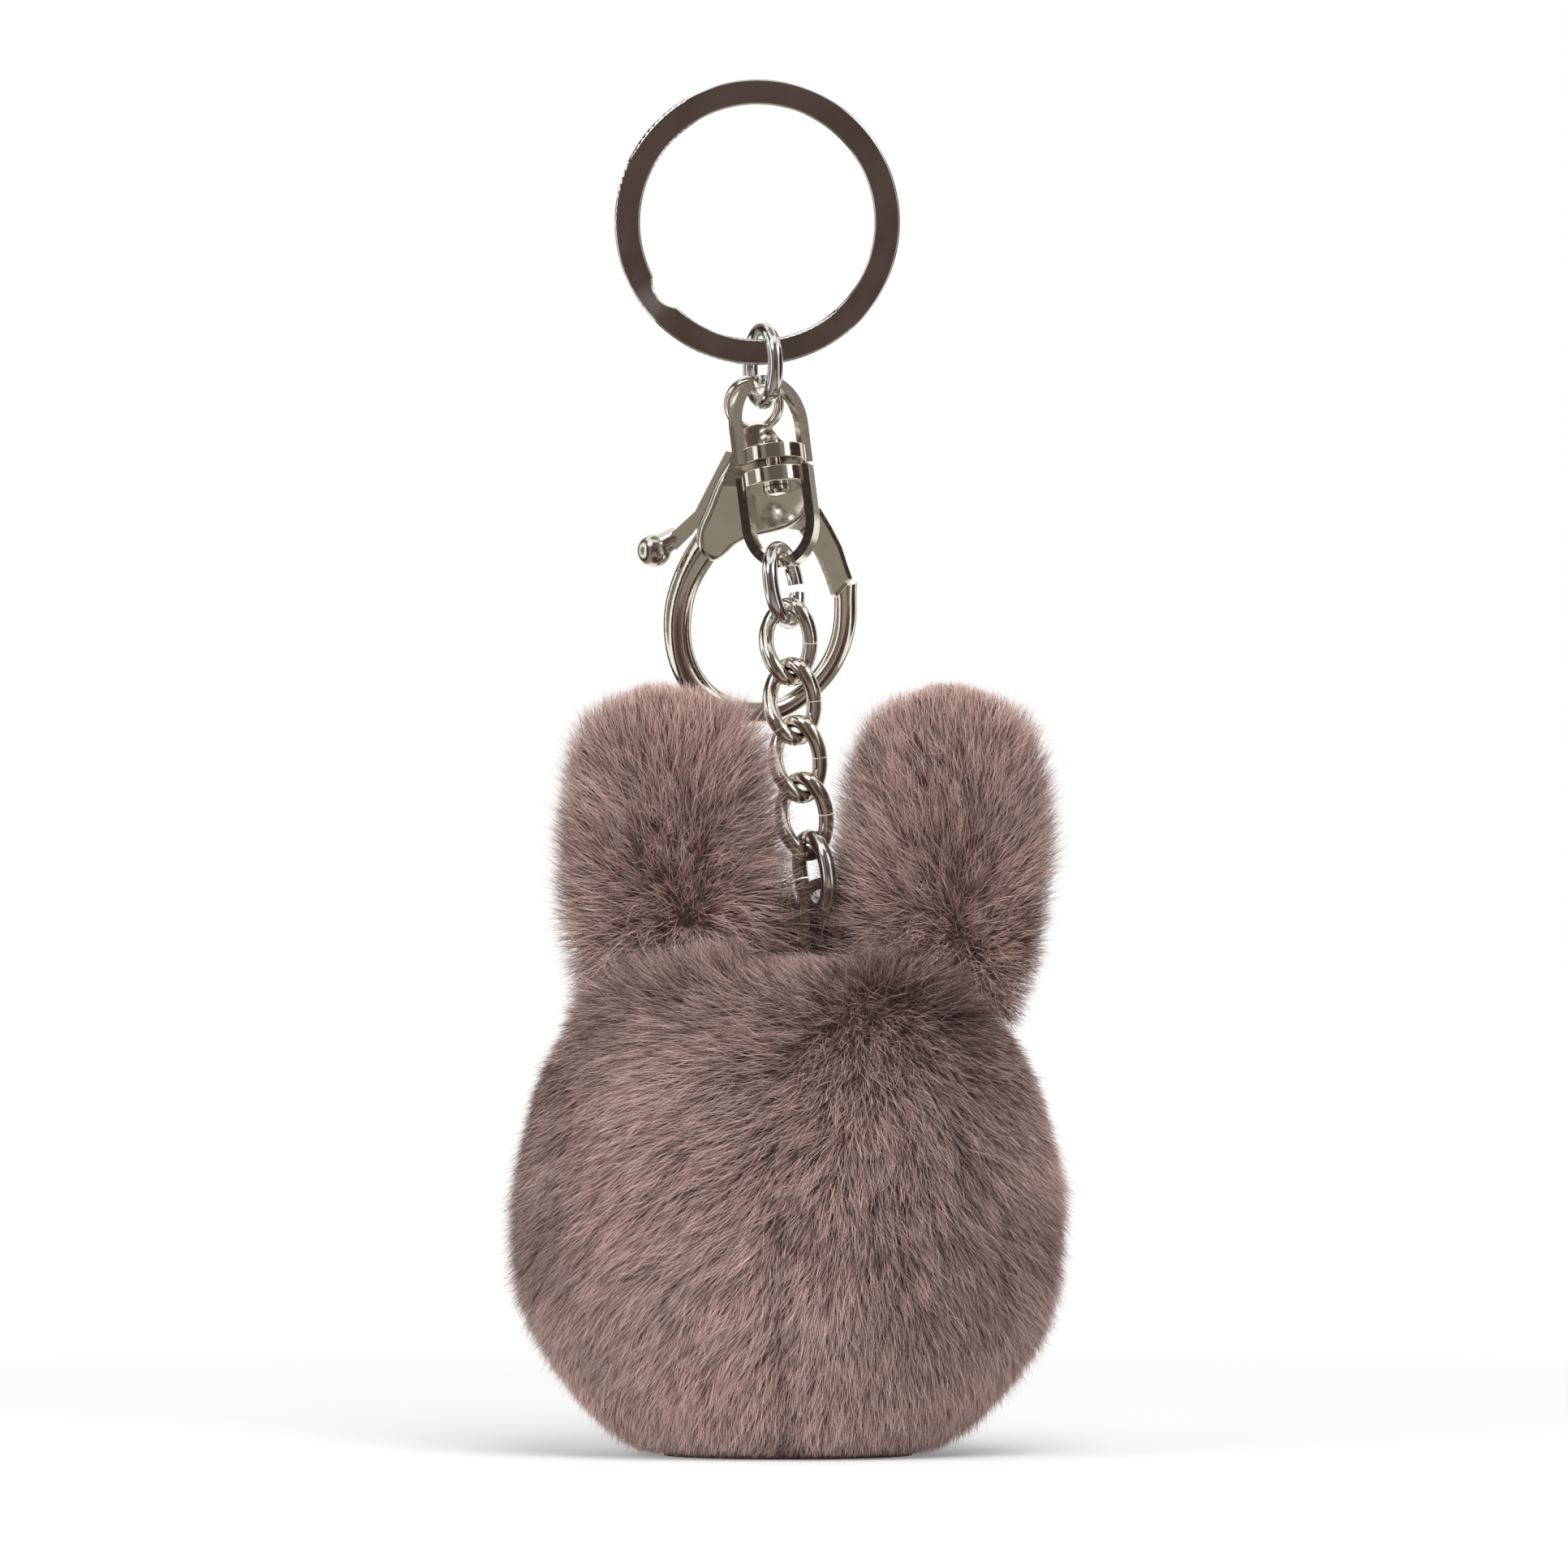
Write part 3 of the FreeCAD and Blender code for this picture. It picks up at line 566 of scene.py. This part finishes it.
def head_painted_shade_and_tone(roots, normals):
    """Painted shade and light on the head's fur: darker along the back seam's parting, under the ears,
    behind the loop, round the ears' roots, at the right and at the left edge, and lighter low down. It is
    also darker at the hem.
    """
    across = (roots[:, 0] - HEAD_X) / HEAD_HALF
    height = (roots[:, 2] - HEAD_Z) / HEAD_UP
    # painted shade: darker in the seam's parting and towards the top, under the ears
    tone = 0.05 - 0.13 * seam_at(roots, normals) - 0.24 * smooth(height, 0.35, 0.9)
    # painted shade: the right side of the back is darker, as if turned from the light
    tone -= 0.25 * smooth(across, 0.0, 0.7) * smooth(-normals[:, 1], -0.2, 0.3) * smooth(height, -0.7, -0.2)
    # painted shade in the gap behind the loop and round the ears' roots
    tone -= 0.45 * behind_loop_at(roots) + 0.08 * collar_at(roots)
    # painted shade at the left edge, and painted light lower down
    tone -= 0.36 * smooth(-across, 0.5, 0.95) * smooth(height, -0.6, 0.0) - 0.14 * smooth(-height, 0.35, 0.7)
    tone -= 0.35 * smooth(FLOOR_Z + 3.2 * MM - roots[:, 2], 0, 1.5 * MM)
    return tone


def meeting_at(roots, ear):
    """1 low on an ear's inner side behind the loop, where its fur reaches across to the other ear's."""
    inward = (LOOP_X - ear.x) / abs(LOOP_X - ear.x)
    side = smooth(inward * (roots[:, 0] - ear.x) / ear.half, 0.45, 0.85)
    return side * smooth(roots[:, 1], ear.y, ear.y + 1.5 * MM) * smooth(-66 * MM - roots[:, 2], 0, 3 * MM)


def ear_shape(ear):
    """How an ear's fur grows: outward from a place low on its face, and long where the ears meet."""
    heart = np.array([ear.x + (1.8 if ear.side == "left" else 2.6) * MM, ear.y,
                      EAR_BELLY - (7 if ear.side == "left" else 12) * MM])

    def shape(roots, normals, rng):
        count = len(roots)
        away = roots - heart
        away[:, 1] *= 0.3
        far = np.linalg.norm(away, axis=1) / MM
        flow = unit(tangent_part(unit(away), normals) + 1e-6)
        aside = np.cross(normals, flow)
        flow = unit(flow + aside * (0.35 * TUFTS(roots + 0.7))[:, None])
        length = (EAR_PILE + 0.5 * PATCHES(roots) + 0.40 * rng.normal(0, 1, count)) * MM
        length *= 1 - 0.50 * smooth(roots[:, 2], ear.tip - 5 * MM, ear.tip)
        lie = 0.15 + 0.55 * smooth(far, 2, 16) + 0.13 * rng.normal(0, 1, count)
        side = (roots[:, 0] - ear.x) / ear.half
        low = smooth(EAR_BELLY - roots[:, 2], 0, 8 * MM)
        if ear.side == "left":
            inner = smooth(side, 0.2, 0.9)
            length *= 1 + 0.30 * inner
            lie -= 0.35 * inner
        else:
            inner = smooth(-side, 0.2, 0.9)
            length *= 1 - 0.30 * low * smooth(side, 0.2, 0.9)
        near = smooth(ear.y - roots[:, 1], 0, 1.5 * MM)
        length *= 1 + (0.45 - 0.75 * near) * inner * low
        lie -= 0.2 * inner * low
        meet = meeting_at(roots, ear)
        length = length * (1 - meet) + MEETING_PILE * MM * meet
        lie = lie * (1 - meet) + 0.05 * meet
        collar = smooth(EAR_BELLY - roots[:, 2], 6 * MM, 12 * MM)
        flow = unit(flow + collar[:, None] * 0.9 * tangent_part(rng.normal(0, 1, (count, 3)), normals))
        lie -= 0.25 * collar
        stray = rng.uniform(0, 1, count) < STRAYS
        lie = np.where(stray, lie * 0.5, lie)
        length = np.where(stray, length * 1.15, length)
        width = np.full(count, HAIR_WIDTH) * rng.uniform(0.7, 1.2, count) * (1 + 0.6 * meet)
        width = np.where(stray, width * 0.6, width)
        keep = ~in_head(roots, -0.2 * MM)
        return keep, flow, np.maximum(length, 0.8 * MM), lie, width

    return shape


def ear_painted_shade_and_tone(roots, normals):
    """The ears' fur is a little paler than the head's, with painted shade at its sides and behind the loop,
    where the ears meet.
    """
    # painted shade at the ear's edges, where its cloth faces sideways
    tone = 0.15 - 0.32 * smooth(np.abs(normals[:, 0]), 0.4, 0.9)
    # painted shade behind the loop, low on each ear's inner side
    for ear in EARS.values():
        tone -= 0.7 * meeting_at(roots, ear) * (np.abs(roots[:, 0] - ear.x) < 1.2 * ear.half)
    return tone


HAIRS = 24
total = 0
for name, start, end, seed in (("fur_head_back_left", -math.pi, -math.pi / 2, 21),
                               ("fur_head_back_right", -math.pi / 2, 0, 22),
                               ("fur_head_front", 0, math.pi, 23)):
    total += grow(name, head_surface, start, end, -1, 1, HAIRS, head_shape, head_painted_shade_and_tone, seed)
total += grow("fur_tuft", head_surface, 0, math.pi, 0.7, 1, 4 * HAIRS, tuft_shape, head_painted_shade_and_tone, 24)
for number, (side, ear) in enumerate(EARS.items()):
    for face, start, end, seed in (("back", -math.pi, 0, 31), ("front", 0, math.pi, 41)):
        total += grow(f"fur_ear_{side}_{face}", ear.surface, start, end, -1, 1, HAIRS, ear_shape(ear),
                      ear_painted_shade_and_tone, seed + number)
print("hairs", total)


# ---------------------------------------------------------------- base panel
dress(BACKING, "base_panel")


# ---------------------------------------------------------------- plaited loop
def loop_route():
    """The middle line of the hanging loop, from one sewn end over the top to the other."""
    turn = 1.8 * MM
    foot = loop_low[2]
    top = loop_high[2] - 0.58 * MM - turn
    rows = [(-turn, foot + (top - foot) * k / 24) for k in range(24)]
    rows += [(-turn * math.cos(a), top + turn * math.sin(a)) for a in np.linspace(0, math.pi, 17)]
    rows += [(turn, top + (foot - top) * k / 24) for k in range(1, 25)]
    return np.array([(x, 0.0, z) for x, z in rows])


def resampled(route, step):
    gaps = np.linalg.norm(np.diff(route, axis=0), axis=1)
    place = np.concatenate([[0], np.cumsum(gaps)])
    spots = np.linspace(0, place[-1], int(place[-1] / step) + 1)
    return spots, np.stack([np.interp(spots, place, route[:, k]) for k in range(3)], axis=1)


def tube(centre, out, side, half_out, half_side, first):
    """Points and faces of an oval tube along centre, its points numbered from first."""
    ring = 6
    around = np.linspace(0, 2 * math.pi, ring, endpoint=False)
    rows = (centre[:, None] + out[:, None] * (half_out * np.cos(around))[None, :, None]
            + side[:, None] * (half_side * np.sin(around))[None, :, None])
    k = np.arange(len(centre) - 1)[:, None] * ring + first
    j = np.arange(ring)[None]
    nxt = (j + 1) % ring
    corners = np.stack([k + j, k + ring + j, k + ring + nxt, k + nxt], axis=-1)
    return rows.reshape(-1, 3), corners.reshape(-1, 4)


def plait():
    """Twelve yarns crossing over and under each other round the cord's oval core."""
    spots, line = resampled(loop_route(), 0.10 * MM)
    along = unit(np.gradient(line, axis=0))
    deep = np.tile([0.0, 1.0, 0.0], (len(line), 1))
    wide = np.cross(deep, along)
    pitch = 3.6 * MM
    yarns = 12
    angle_step = 2 * math.pi / (yarns / 2)
    core, faces = tube(line, deep, wide, 0.60 * MM, 0.40 * MM, 0)
    points = [core]
    corners = [faces]
    for yarn in range(yarns):
        way = 1 if yarn % 2 else -1
        start = (yarn // 2) * angle_step
        angle = start + way * 2 * math.pi * spots / pitch
        weave = np.cos(angle * yarns / 4 + (0 if way > 0 else math.pi / 2) + spots / pitch * math.pi)
        radius = 1.0 + 0.16 * weave
        centre = (line + deep * ((0.62 * MM * radius) * np.cos(angle))[:, None]
                  + wide * ((0.42 * MM * radius) * np.sin(angle))[:, None])
        path = unit(np.gradient(centre, axis=0))
        out = unit(deep * np.cos(angle)[:, None] + wide * np.sin(angle)[:, None])
        side = np.cross(path, out)
        rows, faces = tube(centre, out, side, 0.15 * MM, 0.24 * MM, sum(len(p) for p in points))
        points.append(rows)
        corners.append(faces)
    points = np.concatenate(points)
    corners = np.concatenate(corners)
    swing = math.radians(12)
    x = LOOP_X + points[:, 0] * math.cos(swing) - points[:, 1] * math.sin(swing)
    y = HEAD_Y + points[:, 0] * math.sin(swing) + points[:, 1] * math.cos(swing)
    points = np.stack([x, y, points[:, 2]], axis=1)
    piece = mesh_piece("plaited_loop", points, corners.ravel(), np.full(len(corners), 4), "plush", CORD,
                       ("hanging_loop",))


plait()


# ---------------------------------------------------------------- studio
def white_floor():
    """White paper: near the piece it takes its shadow, and farther away it is plain glowing white."""
    material, nodes, links, shader = new_material("white_paper")
    shader.inputs["Roughness"].default_value = 0.9
    shader.inputs["Specular IOR Level"].default_value = 0.0
    shader.inputs["Emission Color"].default_value = (1, 1, 1, 1)
    where = nodes.new("ShaderNodeTexCoord")
    away = nodes.new("ShaderNodeVectorMath")
    away.operation = "LENGTH"
    links.new(where.outputs["Object"], away.inputs[0])
    far = nodes.new("ShaderNodeMapRange")
    far.interpolation_type = "SMOOTHSTEP"
    far.inputs["From Min"].default_value = 0.10
    far.inputs["From Max"].default_value = 0.40
    links.new(away.outputs["Value"], far.inputs["Value"])
    paper = ramp(nodes, [(0.0, (0.55, 0.55, 0.55)), (1.0, (0.0, 0.0, 0.0))])
    links.new(far.outputs["Result"], paper.inputs["Fac"])
    links.new(paper.outputs["Color"], shader.inputs["Base Color"])
    glow = nodes.new("ShaderNodeMapRange")
    glow.inputs["To Min"].default_value = 0.24
    glow.inputs["To Max"].default_value = 1.05
    links.new(far.outputs["Result"], glow.inputs["Value"])
    links.new(glow.outputs["Result"], shader.inputs["Emission Strength"])
    reach = 4.0
    mesh = bpy.data.meshes.new("floor")
    mesh.from_pydata([(-reach, -reach, 0), (reach, -reach, 0), (reach, reach, 0), (-reach, reach, 0)],
                     [], [(0, 1, 2, 3)])
    mesh.materials.append(material)
    floor = bpy.data.objects.new("floor", mesh)
    floor.location = (HEAD_X, HEAD_Y, FLOOR_Z)
    floor.visible_glossy = False
    bpy.context.scene.collection.objects.link(floor)


def area_light(name, place, aim, side, power):
    data = bpy.data.lights.new(name, "AREA")
    data.shape = "SQUARE"
    data.size = side
    data.energy = power
    lamp = bpy.data.objects.new(name, data)
    lamp.location = place
    lamp.rotation_euler = (Vector(aim) - Vector(place)).to_track_quat("-Z", "Y").to_euler()
    lamp.visible_glossy = False
    bpy.context.scene.collection.objects.link(lamp)


# Windows of the room: the way to each, the cosine where it begins and where it is full, and its colour.
# The metal sees the first room, and the fur, the cloth and the floor are lit by the second.
SEEN_ROOM = (
    ((0, 0, 1), 0.10, 0.50, (0.15, 0.12, 0.105)),
    ((0, 0, -1), 0.45, 0.70, (0.42, 0.39, 0.35)),
    ((0, 1, 0), 0.00, 0.30, (1.20, 1.16, 1.10)),
    ((0, -0.88, -0.47), 0.930, 0.990, (0.33, 0.295, 0.245)),
    ((-1, 0, 0), 0.34, 0.46, (0.29, 0.255, 0.215)),
    ((-1, 0, 0), 0.60, 0.66, (0.040, 0.028, 0.023)),
    ((-1, 0, 0), 0.78, 0.82, (1.25, 1.22, 1.18)),
    ((-1, 0, 0), 0.92, 0.95, (0.26, 0.235, 0.20)),
    ((1, 0, 0.1), 0.40, 0.52, (0.25, 0.225, 0.19)),
    ((1, 0, 0.1), 0.68, 0.72, (1.15, 1.12, 1.08)),
    ((1, 0, 0.1), 0.82, 0.88, (0.050, 0.036, 0.030)),
    ((0.70, -0.40, 0.60), 0.965, 0.980, (2.4, 2.4, 2.4)),
    ((-0.45, -0.55, 0.70), 0.965, 0.980, (3.0, 3.0, 3.0)),
    ((0, 0.1, 1), 0.76, 0.84, (1.10, 1.08, 1.05)),
    ((0, 0.1, 1), 0.93, 0.97, (0.25, 0.23, 0.20)),
)
SOFT_ROOM = (
    ((0, 0, 1), -0.20, 0.90, (0.80, 0.79, 0.78)),
    ((-0.80, -0.50, 0.30), 0.20, 0.95, (0.85, 0.84, 0.83)),
    ((0, 1, 0.2), 0.20, 0.90, (0.75, 0.75, 0.75)),
)


def room(nodes, links, where, dark, windows):
    """A dark room with soft-edged windows, as a background shader."""
    base = nodes.new("ShaderNodeRGB")
    base.outputs[0].default_value = (*dark, 1)
    colour = base.outputs[0]
    for way, begins, full, window in windows:
        dot = nodes.new("ShaderNodeVectorMath")
        dot.operation = "DOT_PRODUCT"
        dot.inputs[1].default_value = Vector(way).normalized()
        links.new(where.outputs["Generated"], dot.inputs[0])
        share = nodes.new("ShaderNodeMapRange")
        share.interpolation_type = "SMOOTHSTEP"
        share.inputs["From Min"].default_value = begins
        share.inputs["From Max"].default_value = full
        links.new(dot.outputs["Value"], share.inputs["Value"])
        mix = nodes.new("ShaderNodeMix")
        mix.data_type = "RGBA"
        links.new(share.outputs["Result"], mix.inputs[0])
        links.new(colour, mix.inputs[6])
        mix.inputs[7].default_value = (*window, 1)
        colour = mix.outputs[2]
    shader = nodes.new("ShaderNodeBackground")
    links.new(colour, shader.inputs["Color"])
    return shader.outputs["Background"]


def studio_world():
    """White behind the piece, with one room for reflections and a softer one for diffuse light."""
    world = bpy.data.worlds.new("studio")
    bpy.context.scene.world = world
    world.use_nodes = True
    nodes = world.node_tree.nodes
    links = world.node_tree.links
    nodes.clear()
    where = nodes.new("ShaderNodeTexCoord")
    rays = nodes.new("ShaderNodeLightPath")
    white = nodes.new("ShaderNodeBackground")
    white.inputs["Color"].default_value = (1, 1, 1, 1)
    inside = nodes.new("ShaderNodeMixShader")
    links.new(rays.outputs["Is Glossy Ray"], inside.inputs["Fac"])
    links.new(room(nodes, links, where, (0.14, 0.14, 0.14), SOFT_ROOM), inside.inputs[1])
    links.new(room(nodes, links, where, (0.100, 0.068, 0.056), SEEN_ROOM), inside.inputs[2])
    pick = nodes.new("ShaderNodeMixShader")
    links.new(rays.outputs["Is Camera Ray"], pick.inputs["Fac"])
    links.new(inside.outputs["Shader"], pick.inputs[1])
    links.new(white.outputs["Background"], pick.inputs[2])
    out = nodes.new("ShaderNodeOutputWorld")
    links.new(pick.outputs["Shader"], out.inputs["Surface"])


def camera():
    """A long lens level with the middle of the whole, square to the key ring."""
    away = 1.60
    wide = 0.1647
    data = bpy.data.cameras.new("camera")
    data.sensor_width = 36
    data.lens = 36 * away / wide
    data.clip_end = 20
    eye = bpy.data.objects.new("camera", data)
    eye.location = (2.81 * MM, -away, -59.0 * MM)
    eye.rotation_euler = (math.pi / 2, 0, 0)
    bpy.context.scene.collection.objects.link(eye)
    bpy.context.scene.camera = eye


white_floor()
studio_world()
middle = (HEAD_X, HEAD_Y, -85 * MM)
area_light("key", (0.14, -0.52, 0.45), middle, 0.45, 6.0)
area_light("fill", (-0.55, -0.50, 0.10), middle, 0.60, 3.8)
camera()
bpy.context.scene.view_settings.view_transform = "Standard"
bpy.context.scene.view_settings.look = "None"
